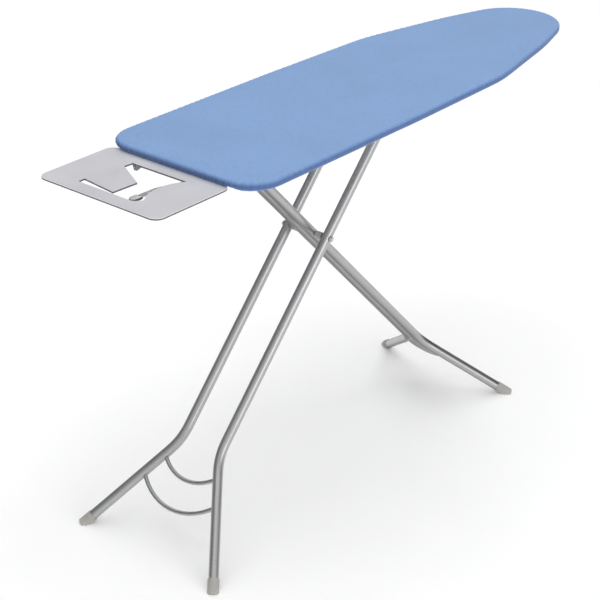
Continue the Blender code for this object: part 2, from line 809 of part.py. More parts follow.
def make_lever_spring(board):
    """Torsion coil on the lever's pin."""
    turns = 4
    steps = 14
    start_y = LEVER_BARREL_Y[1] + 0.0015
    pitch = 0.0018
    radius = 0.0046
    path = []
    for k in range(turns * steps + 1):
        turn = 2 * pi * k / steps
        path.append(
            Vector((
                LEVER_X + radius * cos(turn),
                start_y + pitch * k / steps,
                LEVER_PIVOT_Z + radius * sin(turn),
            ))
        )
    axis = Vector((0.0, 1.0, 0.0))
    solid_rod("lever_spring", path, 0.0006, 6, "bright_steel", board, normal=axis)


def make_push_rod(board):
    """Wire with both ends bent square into the lugs of the lever and the latch."""
    inner = LUG_Y[0] - 0.003
    corners = [(LEVER_X, inner), (LEVER_X, ROD_Y), (LATCH_X, ROD_Y), (LATCH_X, inner)]
    flat = rounded_path(corners, 0.004, 4)
    path = [Vector((x, y, ROD_Z)) for x, y in flat]
    solid_rod("push_rod", path, ROD_RADIUS, 8, "bright_steel", board)


def make_latch(board):
    """Latch whose hook drops in front of the sliding rod, with its bracket and pin."""
    origin = (LATCH_X, 0.0, LATCH_PIVOT_Z)
    tongue_z = LATCH_PIVOT_Z - 0.0115
    path = [
        (LATCH_X, LATCH_PIVOT_Z - 0.001),
        (LATCH_X + 0.012, tongue_z),
        (HOOK_X, tongue_z),
        (HOOK_X + 0.0004, HOOK_BOTTOM),
    ]
    side_view = ribbon(rounded_path(path, 0.003, 3), 0.002)
    latch = prism("lock_latch", side_view, "Y", -0.010, 0.010, "bright_steel", board, origin)
    around = circle(LATCH_X, LATCH_PIVOT_Z, 0.0042, 16)
    barrel = prism("latch_barrel", around, "Y", -0.010, LUG_Y[1], "bright_steel", board)
    lug_shape = rounded_outline(
        rectangle((LATCH_X - 0.0042, ROD_Z - 0.0042), (LATCH_X + 0.0042, LATCH_PIVOT_Z)), 0.0036, 3
    )
    lug = prism("latch_lug", lug_shape, "Y", LUG_Y[0], LUG_Y[1], "bright_steel", board)
    join(latch, barrel, lug)
    bore = LATCH_PIN_RADIUS + FIT_GAP
    pin_hole = y_cutter("latch_pin_cutter", LATCH_X, LATCH_PIVOT_Z, bore, -0.05, 0.06, board)
    rod_hole = y_cutter("latch_rod_cutter", LATCH_X, ROD_Z, ROD_RADIUS + FIT_GAP, 0.02, 0.04, board)
    cut(latch, pin_hole, rod_hole)
    low, high = LATCH_BRACKET_Y
    bracket = u_bracket("latch_bracket", LATCH_X, 0.008, low, high, LATCH_BRACKET_BOTTOM, board)
    cut(bracket, pin_hole)
    reach = (low - FIT_GAP, high + FIT_GAP)
    headed_pin("latch_pin", LATCH_X, LATCH_PIVOT_Z, LATCH_PIN_RADIUS, *reach, SMALL_PIN_HEAD, board)


# ---------------------------------------------------------------- legs


def leg_path(side, offset, bend_at, splay, bend_radius, end_at):
    """Centreline of a leg tube in its leg's plane, from above the top pivot to the foot."""
    foot_y = offset + (end_at - bend_at) * tan(splay)
    corners = [(-UPPER_ARM - TUBE_TOP, offset), (bend_at, offset), (end_at, foot_y)]
    flat = rounded_path(corners, bend_radius, BEND_STEPS)
    return [Vector((x, side * y, 0.0)) for x, y in flat]


def clearance_rod(name, path, leg):
    """Cutter a little fatter than a leg tube, for coping what meets the tube."""
    return solid_rod(name, path, TUBE_RADIUS + FIT_GAP, TUBE_SIDES, "tube_paint", leg)


def foot_setback(splay):
    """Length of tube axis left free above the floor, so the tube's end stays inside its cap."""
    dip = sin(LEG_SLOPE) * cos(splay)
    return (TUBE_RADIUS * sqrt(1 - dip * dip) + CAP_FLOOR) / dip


def make_foot_cap(name, side, offset, bend_at, splay, leg, floor):
    """Moulded cap over the tube's end, cut flat where it stands on the floor."""
    foot_y = side * (offset + (LEG_RUN - bend_at) * tan(splay))
    setback = foot_setback(splay)
    bore = TUBE_RADIUS + FIT_GAP
    stop = -setback + FIT_GAP
    start = -setback - CAP_LENGTH
    profile = [
        (stop, 0.0),
        (stop, bore),
        (start, bore),
        (start, CAP_RADIUS - 0.0006),
        (start + 0.0008, CAP_RADIUS),
        (CAP_TOE - 0.003, CAP_RADIUS),
        (CAP_TOE, CAP_RADIUS - 0.003),
        (CAP_TOE, 0.0),
    ]
    direction = (cos(splay), side * sin(splay), 0.0)
    cap = turned(name, profile, (LEG_RUN, foot_y, 0.0), direction, 20, "grey_plastic", leg)
    cut(cap, floor)


def make_plug(name, y, leg):
    """Flanged plug in the open top of a leg tube."""
    bore = TUBE_RADIUS - TUBE_WALL - FIT_GAP
    profile = [
        (-0.006, 0.0),
        (-0.006, bore),
        (FIT_GAP, bore),
        (FIT_GAP, TUBE_RADIUS - 0.0004),
        (0.0016, TUBE_RADIUS - 0.0006),
        (0.0024, TUBE_RADIUS - 0.003),
        (0.0024, 0.0),
    ]
    turned(name, profile, (-UPPER_ARM - TUBE_TOP, y, 0.0), (-1, 0, 0), 16, "black_plastic", leg)


def make_brace(name, tip_at, radius, leg, clearances):
    """Round rod bent to an arc that bulges towards the feet, coped to both tubes."""
    centre = tip_at - radius
    offset = OUTER_LEG_Y * cos(OUTER_SPLAY) + (centre - OUTER_BEND_AT) * sin(OUTER_SPLAY)
    half = OUTER_SPLAY + asin(offset / radius)
    path = [Vector((x, y, 0.0)) for x, y in arc((centre, 0.0), radius, -half, half, 14)]
    brace = solid_rod(name, path, BRACE_RADIUS, 10, "tube_paint", leg)
    cut(brace, *clearances)


def make_web(leg, clearances):
    """Sheet web in the fork of the inner leg, with a round lower edge, coped to both tubes."""
    start = INNER_BEND_AT - 0.012
    edge_centre = WEB_TIP_AT - WEB_EDGE_RADIUS
    edge_start = radians(94.0)
    lower = arc((edge_centre, 0.0), WEB_EDGE_RADIUS, -edge_start, edge_start, 14)
    outline = [(start, -WEB_TOP_HALF), *lower, (start, WEB_TOP_HALF)]
    half = WEB_THICKNESS / 2
    web = prism("leg_fork_web", outline, "Z", -half, half, "tube_paint", leg)
    cut(web, *clearances)


def make_outer_leg(board, floor):
    """Outer leg: two spread tubes that carry the sliding rod, joined by two arc braces."""
    leg = make_empty("outer_leg_axis", (CROSS_X, 0.0, CROSS_HEIGHT), pi - LEG_SLOPE, board)
    axle_hole = y_cutter("outer_axle_cutter", 0.0, 0.0, AXLE_RADIUS + FIT_GAP, -0.09, 0.09, leg)
    rod_hole = y_cutter("slide_rod_cutter", -UPPER_ARM, 0.0, SLIDE_ROD_RADIUS + FIT_GAP, -0.09, 0.09, leg)
    end_at = LEG_RUN - foot_setback(OUTER_SPLAY) * cos(OUTER_SPLAY)
    shape = (OUTER_LEG_Y, OUTER_BEND_AT, OUTER_SPLAY)
    clearances = []
    for word, side in (("left", 1), ("right", -1)):
        path = leg_path(side, *shape, OUTER_BEND_RADIUS, end_at)
        tube = hollow_tube(f"outer_leg_tube_{word}", path, "tube_paint", leg)
        clearances.append(clearance_rod(f"outer_clearance_{word}", path, leg))
        cut(tube, axle_hole, rod_hole)
        make_foot_cap(f"outer_foot_cap_{word}", side, *shape, leg, floor)
        make_plug(f"outer_tube_plug_{word}", side * OUTER_LEG_Y, leg)
    for word, tip_at, radius in zip(("upper", "lower"), BRACE_TIPS, BRACE_ARCS):
        make_brace(f"outer_leg_brace_{word}", tip_at, radius, leg, clearances)
    reach = RAIL_Y + RAIL_SHEET + 0.0012
    headed_pin("slide_rod", -UPPER_ARM, 0.0, SLIDE_ROD_RADIUS, -reach, reach, PIN_HEAD, leg)


def make_inner_leg(board, floor):
    """Inner leg: two tubes side by side that fork near the floor, with the crossing axle."""
    leg = make_empty("inner_leg_axis", (CROSS_X, 0.0, CROSS_HEIGHT), LEG_SLOPE, board)
    axle_hole = y_cutter("inner_axle_cutter", 0.0, 0.0, AXLE_RADIUS + FIT_GAP, -0.09, 0.09, leg)
    rod_hole = y_cutter("top_rod_cutter", -UPPER_ARM, 0.0, PIVOT_ROD_RADIUS + FIT_GAP, -0.09, 0.09, leg)
    end_at = LEG_RUN - foot_setback(INNER_SPLAY) * cos(INNER_SPLAY)
    shape = (INNER_LEG_Y, INNER_BEND_AT, INNER_SPLAY)
    clearances = []
    inner_face = PAIR_FACE + FIT_GAP
    outer_face = OUTER_LEG_Y - TUBE_RADIUS - FIT_GAP
    bore = AXLE_RADIUS + FIT_GAP
    for word, side in (("left", 1), ("right", -1)):
        path = leg_path(side, *shape, INNER_BEND_RADIUS, end_at)
        tube = hollow_tube(f"inner_leg_tube_{word}", path, "tube_paint", leg)
        clearances.append(clearance_rod(f"inner_clearance_{word}", path, leg))
        cut(tube, axle_hole, rod_hole)
        make_foot_cap(f"inner_foot_cap_{word}", side, *shape, leg, floor)
        make_plug(f"inner_tube_plug_{word}", side * INNER_LEG_Y, leg)
        ring = [
            (inner_face, bore),
            (inner_face, SPACER_RADIUS),
            (outer_face, SPACER_RADIUS),
            (outer_face, bore),
        ]
        direction = (0, side, 0)
        turned(f"axle_spacer_{word}", ring, (0, 0, 0), direction, 20, "grey_plastic", leg)
        nut_start = OUTER_LEG_Y + TUBE_RADIUS + FIT_GAP
        hex_bore = bore / cos(pi / 6)
        nut = [
            (nut_start, hex_bore),
            (nut_start, AXLE_NUT_RADIUS),
            (nut_start + 0.0028, AXLE_NUT_RADIUS),
            (nut_start + 0.0038, AXLE_NUT_RADIUS - 0.0010),
            (nut_start + 0.0038, hex_bore),
        ]
        turned(f"axle_nut_{word}", nut, (0, 0, 0), direction, 6, "bright_steel", leg)
    half = OUTER_LEG_Y + TUBE_RADIUS + 0.0052
    cylinder("crossing_axle", (0, 0, 0), (0, 1, 0), -half, half, AXLE_RADIUS, "bright_steel", leg)
    make_web(leg, clearances)


# ---------------------------------------------------------------- whole board


def make_board_top(board):
    make_cover(board)
    make_drawcord(board)
    make_foam_pad(board)
    make_deck(board)
    for name, x, half_length in CROSS_RAILS:
        make_cross_rail(name, x, half_length, board)
    make_iron_rest(board)
    make_rest_mounting(board)


def make_underside(board):
    make_leg_pivot(board)
    make_slide_rail("slide_rail_left", 1, board)
    make_slide_rail("slide_rail_right", -1, board)
    make_lever(board)
    make_lever_grip(board)
    make_lever_spring(board)
    make_push_rod(board)
    make_latch(board)


def main():
    clear_scene()
    board = make_empty("board_origin", (-(NOSE_X - REST_REACH) / 2, 0.0, 0.0))
    make_board_top(board)
    make_underside(board)
    floor = prism("floor_cutter", rectangle((-1, -1), (2, 1)), "Z", -0.2, 0.0, "grey_plastic", board)
    make_outer_leg(board, floor)
    make_inner_leg(board, floor)


main()
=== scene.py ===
"""Folding ironing board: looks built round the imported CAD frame.

The cover, the felt under it, its draw cord and the leg tubes are made here and stand for their
CAD nodes.  Every other CAD node is shown with finer edges and a procedural material.
X runs from the iron rest to the nose, Y to the left, Z up, in metres.
"""

import json
from math import cos, pi, radians, sin

import bpy
import numpy as np
from mathutils import Matrix, Vector
from mathutils.geometry import convex_hull_2d, delaunay_2d_cdt


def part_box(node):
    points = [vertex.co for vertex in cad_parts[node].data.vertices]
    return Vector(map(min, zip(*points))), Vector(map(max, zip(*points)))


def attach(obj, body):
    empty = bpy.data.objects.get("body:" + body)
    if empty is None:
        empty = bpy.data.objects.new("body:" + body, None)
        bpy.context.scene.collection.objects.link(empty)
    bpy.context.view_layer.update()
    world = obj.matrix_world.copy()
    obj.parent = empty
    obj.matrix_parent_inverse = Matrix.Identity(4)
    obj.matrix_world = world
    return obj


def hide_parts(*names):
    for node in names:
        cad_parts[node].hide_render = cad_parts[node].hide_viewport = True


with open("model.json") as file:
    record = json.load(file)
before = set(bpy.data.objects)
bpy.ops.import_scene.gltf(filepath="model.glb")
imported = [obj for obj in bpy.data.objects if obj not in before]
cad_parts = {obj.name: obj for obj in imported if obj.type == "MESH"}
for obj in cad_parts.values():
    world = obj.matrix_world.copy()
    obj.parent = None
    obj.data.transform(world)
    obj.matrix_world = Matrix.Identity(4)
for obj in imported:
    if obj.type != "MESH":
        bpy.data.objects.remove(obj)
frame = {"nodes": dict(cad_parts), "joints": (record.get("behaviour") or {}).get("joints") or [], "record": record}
bpy.context.view_layer.update()
NODES = frame["nodes"]
JOINTS = {joint["name"]: joint for joint in frame["joints"]}
UP = Vector((0.0, 0.0, 1.0))
ACROSS = Vector((0.0, 1.0, 0.0))

# Cover
CLOTH_STEP = 0.0026
CLOTH_THICKNESS = 0.0006
LATTICE_STEP = 0.010
HEM_INSET = 0.0180
PINNED_INSET = 0.0500
SIM_FRAMES = 26
SIM_CAP = 0.0045
PIN_START = 0.030
PIN_BLEND = 0.020
FIRST_UPPER_LEVEL = 7
BAND_HEIGHT = 0.008
SMOOTHED_LEVELS = 8
PUCKER_PITCH = 0.0155
PUCKER_RISE = 0.0026
SLACK = 1.04
END_FULLNESS = 1.3
SIDE_FULLNESS = 0.16
BAND_DROP = 0.0032
STITCH_LENGTH = 0.0026
STITCH_PITCH = 0.0040
STITCH_RADIUS = 0.0003
STITCH_SIDES = 6
CORD_LAY = 0.0104
CORD_SIDES = 6

# Legs
TUBE_SIDES = 40
TUBE_WALL = 0.001
SLICE_STEP = 0.004

# Camera, in the board's frame
CAMERA_PLACE = (-2.8948, -2.3792, 2.3016)
CAMERA_HEADING = radians(41.24)
CAMERA_DIP = radians(27.18)
CAMERA_ROLL = radians(-0.63)
CAMERA_LENS = 101.6

# Studio
FLOOR_HALF = 45.0
GLOW_RISE = radians(35)
GLOW_HEADING = radians(-125)
SKY_GLOW = (cos(GLOW_RISE) * cos(GLOW_HEADING), cos(GLOW_RISE) * sin(GLOW_HEADING), sin(GLOW_RISE))


# ---------------------------------------------------------------- mesh helpers


def add_mesh(name, verts, faces, material, smooth_angle=40):
    """New object from vertices and faces, smooth except across sharp edges."""
    mesh = bpy.data.meshes.new(name)
    mesh.from_pydata([tuple(v) for v in verts], [], faces)
    if material:
        mesh.materials.append(material)
    mesh.shade_smooth()
    mesh.set_sharp_from_angle(angle=radians(smooth_angle))
    piece = bpy.data.objects.new(name, mesh)
    bpy.context.scene.collection.objects.link(piece)
    return piece


def bridge(rings, size, closed_path=False):
    """Quads between successive rings of equal size."""
    faces = []
    for a in range(rings if closed_path else rings - 1):
        b = (a + 1) % rings
        for i in range(size):
            j = (i + 1) % size
            faces.append((a * size + i, a * size + j, b * size + j, b * size + i))
    return faces


def plan_points(node):
    """Convex outline of a CAD node seen from above, anticlockwise."""
    flat = np.unique(np.round([v.co.xy for v in NODES[node].data.vertices], 6), axis=0)
    hull = convex_hull_2d([Vector(p) for p in flat])
    return np.array([flat[i] for i in hull])


def resample(loop, step):
    """Closed loop with evenly spaced points, and their outward normals."""
    closed = np.vstack([loop, loop[:1]])
    lengths = np.hypot(*np.diff(closed, axis=0).T)
    along = np.concatenate([[0.0], np.cumsum(lengths)])
    count = int(round(along[-1] / step))
    places = np.arange(count) * along[-1] / count
    points = np.column_stack([np.interp(places, along, closed[:, k]) for k in (0, 1)])
    for _ in range(3):
        points = 0.25 * np.roll(points, 1, 0) + 0.5 * points + 0.25 * np.roll(points, -1, 0)
    tangents = np.roll(points, -1, 0) - np.roll(points, 1, 0)
    tangents /= np.hypot(*tangents.T)[:, None]
    return points, np.column_stack([tangents[:, 1], -tangents[:, 0]])


def remove(piece):
    mesh = piece.data
    bpy.data.objects.remove(piece)
    bpy.data.meshes.remove(mesh)


# ---------------------------------------------------------------- material helpers


class Shader:
    """Builds a Principled material whose colour, roughness and bump come from nodes."""

    def __init__(self, name, **sockets):
        self.material = bpy.data.materials.new(name)
        self.material.use_nodes = True
        self.tree = self.material.node_tree
        self.tree.nodes.clear()
        self.surface = self.tree.nodes.new("ShaderNodeBsdfPrincipled")
        output = self.tree.nodes.new("ShaderNodeOutputMaterial")
        self.link(self.surface.outputs["BSDF"], output.inputs["Surface"])
        self.place = self.tree.nodes.new("ShaderNodeTexCoord").outputs["Object"]
        for socket, value in sockets.items():
            self.surface.inputs[socket.replace("_", " ")].default_value = value

    def link(self, source, target):
        self.tree.links.new(source, target)

    def node(self, kind, **settings):
        made = self.tree.nodes.new("ShaderNode" + kind)
        for key, value in settings.items():
            setattr(made, key, value)
        return made

    def mapped(self, scale=(1.0, 1.0, 1.0), turn=0.0):
        """Object coordinates turned about Y and then stretched."""
        turned = self.node("Mapping")
        self.link(self.place, turned.inputs["Vector"])
        turned.inputs["Rotation"].default_value = (0.0, turn, 0.0)
        stretched = self.node("Mapping")
        self.link(turned.outputs["Vector"], stretched.inputs["Vector"])
        stretched.inputs["Scale"].default_value = scale
        return stretched.outputs["Vector"]

    def noise(self, scale, detail=3.0, vector=None, rough=0.5):
        made = self.node("TexNoise")
        self.link(vector or self.place, made.inputs["Vector"])
        made.inputs["Scale"].default_value = scale
        made.inputs["Detail"].default_value = detail
        made.inputs["Roughness"].default_value = rough
        return made.outputs["Fac"]

    def cells(self, scale, feature="F1", output="Distance"):
        made = self.node("TexVoronoi", feature=feature)
        self.link(self.place, made.inputs["Vector"])
        made.inputs["Scale"].default_value = scale
        return made.outputs[output]

    def maths(self, operation, a, b=0.0):
        made = self.node("Math", operation=operation)
        for socket, value in zip(made.inputs, (a, b)):
            if isinstance(value, (int, float)):
                socket.default_value = value
            else:
                self.link(value, socket)
        return made.outputs[0]

    def spread(self, value, low, high, out_low, out_high):
        made = self.node("MapRange")
        self.link(value, made.inputs["Value"])
        for name, number in zip(("From Min", "From Max", "To Min", "To Max"), (low, high, out_low, out_high)):
            made.inputs[name].default_value = number
        return made.outputs["Result"]

    def ramp(self, value, *stops):
        """Colour ramp of (place, colour) stops."""
        made = self.node("ValToRGB")
        self.link(value, made.inputs["Fac"])
        points = made.color_ramp.elements
        while len(points) < len(stops):
            points.new(0.5)
        for point, (place, colour) in zip(points, stops):
            point.position = place
            point.color = (*colour, 1.0)
        return made.outputs["Color"]

    def mix(self, share, a, b, blend="MIX"):
        made = self.node("Mix", data_type="RGBA", blend_type=blend)
        for socket, value in ((made.inputs["Factor"], share), (made.inputs[6], a), (made.inputs[7], b)):
            if isinstance(value, (int, float)):
                socket.default_value = value
            elif isinstance(value, tuple):
                socket.default_value = (*value, 1.0)
            else:
                self.link(value, socket)
        return made.outputs[2]

    def facing_up(self):
        """Up part of the surface's normal in the piece's own frame, so it stays put when a leg folds.

        1 on a level top of the standing board, 0 on an upright side.
        """
        axes = self.node("SeparateXYZ")
        self.link(self.node("TexCoord").outputs["Normal"], axes.inputs[0])
        return axes.outputs["Z"]

    def colour(self, value):
        self.link(value, self.surface.inputs["Base Color"])

    def roughness(self, value):
        self.link(value, self.surface.inputs["Roughness"])

    def bump(self, *layers):
        """Stack of (height, strength, distance) bumps."""
        below = None
        for height, strength, distance in layers:
            made = self.node("Bump")
            self.link(height, made.inputs["Height"])
            made.inputs["Strength"].default_value = strength
            made.inputs["Distance"].default_value = distance
            if below:
                self.link(below, made.inputs["Normal"])
            below = made.outputs["Normal"]
        self.link(below, self.surface.inputs["Normal"])


# ---------------------------------------------------------------- materials


def shade(colour, factor):
    return tuple(min(1.0, c * factor) for c in colour)


def cotton():
    """Plain-weave cotton with slubs, a faint heather and a soft nap.

    The upright band and the sloped sides of the puckers are darkened with painted shade, to match the photo.
    """
    blue = (0.215, 0.360, 0.635)
    thread = 0.00062
    s = Shader("cotton_weave", Sheen_Weight=0.35, Sheen_Roughness=0.45, Specular_IOR_Level=0.25)
    s.surface.inputs["Sheen Tint"].default_value = (0.80, 0.88, 1.0, 1.0)
    axes = s.node("SeparateXYZ")
    s.link(s.place, axes.inputs[0])
    warp = s.maths("SINE", s.maths("MULTIPLY", axes.outputs["X"], 2 * pi / thread))
    drop = s.maths("ADD", axes.outputs["Y"], axes.outputs["Z"])
    weft = s.maths("SINE", s.maths("MULTIPLY", drop, 2 * pi / thread))
    weave = s.maths("MULTIPLY", warp, weft)
    slub_x = s.noise(1.0, 2.0, s.mapped((60.0, 1400.0, 1400.0)))
    slub_y = s.noise(1.0, 2.0, s.mapped((1400.0, 60.0, 60.0)))
    slubs = s.maths("ADD", slub_x, slub_y)
    heather = s.noise(900.0, 2.0)
    clouds = s.noise(7.0, 3.0)
    base = s.ramp(clouds, (0.30, shade(blue, 0.955)), (0.70, shade(blue, 1.03)))
    threads = s.ramp(s.spread(slubs, 0.7, 1.3, 0.0, 1.0), (0.25, (0.90,) * 3), (0.75, (1.06,) * 3))
    mixed = s.mix(1.0, base, threads, "MULTIPLY")
    fleck = s.spread(heather, 0.60, 0.72, 0.0, 0.22)
    flecked = s.mix(fleck, mixed, shade(blue, 1.45))
    # painted shade: darker where the cloth turns from level, on the band, the rounded edge and the pucker slopes
    fold = s.ramp(
        s.maths("ABSOLUTE", s.facing_up()),
        (0.15, (0.42, 0.44, 0.56)),
        (0.74, (0.80, 0.81, 0.85)),
        (0.93, (0.90, 0.90, 0.92)),
        (0.995, (1.0, 1.0, 1.0)),
    )
    s.colour(s.mix(1.0, flecked, fold, "MULTIPLY"))
    s.roughness(s.spread(clouds, 0.3, 0.7, 0.82, 0.94))
    s.bump((weave, 0.25, 0.00010), (slubs, 0.35, 0.00018), (s.noise(55.0, 2.0), 0.20, 0.0012))
    return s.material


def felt():
    """Off-white needled felt."""
    s = Shader("needled_felt", Sheen_Weight=0.3, Sheen_Roughness=0.6)
    hair = s.noise(1.0, 4.0, s.mapped((900.0, 350.0, 900.0)))
    s.colour(s.ramp(hair, (0.35, (0.55, 0.55, 0.52)), (0.65, (0.76, 0.75, 0.70))))
    s.roughness(s.spread(hair, 0.3, 0.7, 0.88, 0.98))
    s.bump((hair, 0.5, 0.0004), (s.noise(90.0, 3.0), 0.4, 0.0012))
    return s.material


def thread_white(name, colour):
    """Spun cotton thread or cord."""
    s = Shader(name, Sheen_Weight=0.25, Sheen_Roughness=0.5)
    fibre = s.noise(2500.0, 3.0)
    s.colour(s.ramp(fibre, (0.3, shade(colour, 0.82)), (0.7, shade(colour, 1.05))))
    s.roughness(s.spread(fibre, 0.3, 0.7, 0.8, 0.95))
    s.bump((fibre, 0.4, 0.0002))
    return s.material


def silver_paint(name, lean, rim):
    """Silver lacquer on drawn tube: faint draw lines along the tube and fine metallic grain.

    lean turns X onto the tube's run, so the draw lines follow it. rim is the depth of the painted shade
    where the tube's side turns up or down, to match the photo. Where the side faces level, the paint
    is a little lighter, a painted highlight.
    """
    grey = (0.445, 0.445, 0.45)
    s = Shader(name, Metallic=0.85, Coat_Weight=0.25, Coat_Roughness=0.12)
    lines = s.noise(1.0, 3.0, s.mapped((5.0, 900.0, 900.0), lean))
    flake = s.noise(2600.0, 2.0)
    smear = s.noise(14.0, 4.0)
    tone = s.ramp(lines, (0.30, shade(grey, 0.90)), (0.70, shade(grey, 1.08)))
    grain = s.ramp(flake, (0.35, (0.93,) * 3), (0.65, (1.05,) * 3))
    # painted shade on the tube's upper and lower sides, a faint painted highlight where it faces level
    sides = s.ramp(
        s.maths("ABSOLUTE", s.facing_up()),
        (0.0, (1.04,) * 3),
        (0.36, (0.98,) * 3),
        (0.55, (rim,) * 3),
        (0.72, (rim * rim,) * 3),
        (0.90, (0.9,) * 3),
    )
    s.colour(s.mix(1.0, s.mix(1.0, tone, grain, "MULTIPLY"), sides, "MULTIPLY"))
    patchy = s.maths("ADD", s.spread(lines, 0.3, 0.7, 0.26, 0.34), s.spread(smear, 0.4, 0.7, 0.0, 0.07))
    s.roughness(patchy)
    s.bump((lines, 0.12, 0.00008), (s.noise(420.0, 2.0), 0.10, 0.00012))
    return s.material


def rest_coat():
    """Pale grey powder coat on pressed sheet, with a fine orange-peel skin.

    The cut edges are darkened with painted shade and the rounding lightened with a painted
    highlight, to match the photo.
    """
    grey = (0.60, 0.60, 0.635)
    s = Shader("rest_coat", Metallic=0.2, Coat_Weight=0.15, Coat_Roughness=0.25)
    peel = s.noise(700.0, 2.0)
    clouds = s.noise(9.0, 3.0)
    speck = s.spread(s.noise(1900.0, 1.0), 0.66, 0.74, 0.0, 0.5)
    tone = s.ramp(clouds, (0.3, shade(grey, 0.96)), (0.7, shade(grey, 1.03)))
    coat = s.mix(speck, tone, shade(grey, 0.72))
    # painted shade on the upright lips and cut edges, painted highlight on the rounded edges
    sides = s.ramp(
        s.maths("ABSOLUTE", s.facing_up()),
        (0.25, (0.17,) * 3),
        (0.50, (0.38,) * 3),
        (0.64, (1.45,) * 3),
        (0.94, (1.45,) * 3),
        (0.995, (1.0,) * 3),
    )
    s.colour(s.mix(1.0, coat, sides, "MULTIPLY"))
    s.roughness(s.spread(clouds, 0.3, 0.7, 0.38, 0.50))
    s.bump((peel, 0.25, 0.0002), (s.noise(26.0, 2.0), 0.12, 0.0015))
    return s.material


def galvanised(name, depth):
    """Hot-dip zinc with spangle; a lower depth darkens the zinc as painted shade."""
    s = Shader(name, Metallic=0.75)
    spangle = s.cells(160.0, output="Color")
    split = s.node("SeparateColor")
    s.link(spangle, split.inputs[0])
    tone = split.outputs[0]
    pale = (0.66, 0.67, 0.69)
    s.colour(s.ramp(tone, (0.0, shade(pale, 0.76 * depth)), (1.0, shade(pale, depth))))
    s.roughness(s.spread(tone, 0.0, 1.0, 0.34, 0.52))
    s.bump((s.noise(300.0, 2.0), 0.15, 0.0002), (tone, 0.10, 0.00005))
    return s.material


def plated():
    """Zinc-plated steel of rods, pins, springs and screws."""
    s = Shader("zinc_plate", Metallic=1.0)
    lines = s.noise(1.0, 3.0, s.mapped((700.0, 12.0, 700.0)))
    stain = s.noise(60.0, 3.0)
    tone = s.ramp(stain, (0.35, (0.55, 0.55, 0.56)), (0.7, (0.66, 0.655, 0.64)))
    s.colour(tone)
    s.roughness(s.spread(lines, 0.3, 0.7, 0.22, 0.38))
    s.bump((lines, 0.12, 0.0001))
    return s.material


def foot_plastic():
    """Moulded grey polypropylene, scuffed paler towards the floor."""
    grey = (0.40, 0.385, 0.365)
    s = Shader("foot_polypropylene", Specular_IOR_Level=0.4)
    grain = s.noise(1500.0, 2.0)
    axes = s.node("SeparateXYZ")
    s.link(s.place, axes.inputs[0])
    low = s.spread(axes.outputs["Z"], 0.0, 0.014, 1.0, 0.0)
    scuff = s.maths("MULTIPLY", low, s.spread(s.noise(320.0, 4.0), 0.42, 0.62, 0.0, 0.8))
    tone = s.ramp(s.noise(35.0, 3.0), (0.3, shade(grey, 0.92)), (0.7, shade(grey, 1.06)))
    s.colour(s.mix(scuff, tone, shade(grey, 1.5)))
    s.roughness(s.spread(grain, 0.3, 0.7, 0.48, 0.62))
    s.bump((grain, 0.3, 0.00012))
    return s.material


def dark_plastic():
    """Black moulded nylon with a spark-eroded grain."""
    s = Shader("black_nylon", Specular_IOR_Level=0.45)
    grain = s.cells(2200.0)
    s.colour(s.ramp(s.noise(120.0, 3.0), (0.3, (0.022, 0.022, 0.024)), (0.7, (0.042, 0.042, 0.045))))
    s.roughness(s.spread(grain, 0.0, 0.7, 0.42, 0.60))
    s.bump((grain, 0.25, 0.00012))
    return s.material


def grip_plastic():
    """Pale grey grip with a fine grain, darkened with painted shade round its sides and below."""
    grey = (0.62, 0.62, 0.61)
    s = Shader("grip_polypropylene", Specular_IOR_Level=0.4)
    grain = s.noise(1800.0, 2.0)
    tone = s.ramp(s.noise(60.0, 3.0), (0.3, shade(grey, 0.94)), (0.7, shade(grey, 1.04)))
    # painted shade: dark where the grip turns from level and where it faces down
    s.colour(s.mix(s.spread(s.facing_up(), 0.45, 0.75, 0.0, 1.0), (0.05, 0.05, 0.055), tone))
    s.roughness(s.spread(grain, 0.3, 0.7, 0.42, 0.56))
    s.bump((grain, 0.25, 0.0001))
    return s.material


def leg_lean(body):
    """Direction of a leg's straight part, from the two pivots."""
    high = Vector(JOINTS["legs_fold"]["pos_m"])
    low = Vector(JOINTS["cross_pivot"]["pos_m"])
    run = (low - high).normalized()
    if body == "outer_leg":
        run.x = -run.x
    return run


def make_materials():
    run = leg_lean("inner_leg")
    slope = np.arctan2(-run.z, run.x)
    return {
        "cover_cotton": cotton(),
        "foam": felt(),
        "cord": thread_white("spun_cord", (0.80, 0.80, 0.78)),
        "stitch": thread_white("stitch_thread", (0.30, 0.44, 0.70)),
        # 0.56 and 0.95 are the depths of the painted shade on the tubes' upper and lower sides
        "inner_leg": silver_paint("silver_lacquer_inner", -slope, 0.56),
        "outer_leg": silver_paint("silver_lacquer_outer", slope, 0.95),
        "rest_steel": rest_coat(),
        "deck_steel": galvanised("galvanised_sheet", 1.0),
        # the gusset's zinc is darkened to depth 0.35 as painted shade
        "iron_rest_gusset": galvanised("zinc_painted_shade", 0.35),
        "bright_steel": plated(),
        "foot_plastic": foot_plastic(),
        "black_plastic": dark_plastic(),
        "grip_plastic": grip_plastic(),
    }


# ---------------------------------------------------------------- CAD nodes that stay


EDGE_WIDTHS = {
    "iron_rest_plate": 0.0014,
    "height_lever": 0.0004,
    "lever_grip": 0.0009,
    "deck_panel": 0.0002,
    "foot_plastic": 0.0008,
    "black_plastic": 0.0004,
    "bright_steel": 0.0003,
    "tube_paint": 0.0005,
    "deck_steel": 0.0003,
}


